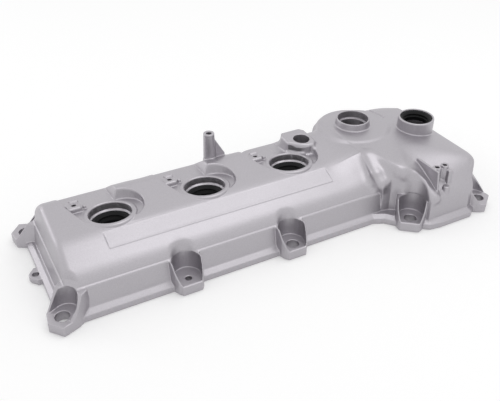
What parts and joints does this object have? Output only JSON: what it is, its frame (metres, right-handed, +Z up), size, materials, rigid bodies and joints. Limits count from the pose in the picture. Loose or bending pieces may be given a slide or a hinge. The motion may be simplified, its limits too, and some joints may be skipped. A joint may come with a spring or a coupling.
{
  "type": "engine valve cover",
  "caption": "Long cast valve cover with plug wells in a row, sloping label side, bolt bosses round the flange, filler neck and a deeper timing end.",
  "frame": {"origin": "centre of the cover's footprint, on the gasket face", "axes": "+X along the plug wells to the timing end, +Y away from the sloping label side, +Z up from the gasket face"},
  "size_m": [0.517, 0.2221, 0.093],
  "materials": {
    "cast_alloy": "bead blasted casting, satin, fine grain",
    "seal_rubber": "moulded black rubber",
    "gasket_rubber": "moulded black rubber, compressed flush",
    "plate_steel": "plain pressed sheet",
    "screw_steel": "plated"
  },
  "bodies": {
    "root": {"cover_casting": "cast_alloy", "plug_seal_1": "seal_rubber", "plug_seal_2": "seal_rubber", "plug_seal_3": "seal_rubber", "sensor_tube_seal": "seal_rubber", "perimeter_gasket": "gasket_rubber", "breather_baffle": "plate_steel", "baffle_screws": "screw_steel"}
  },
  "joints": []
}
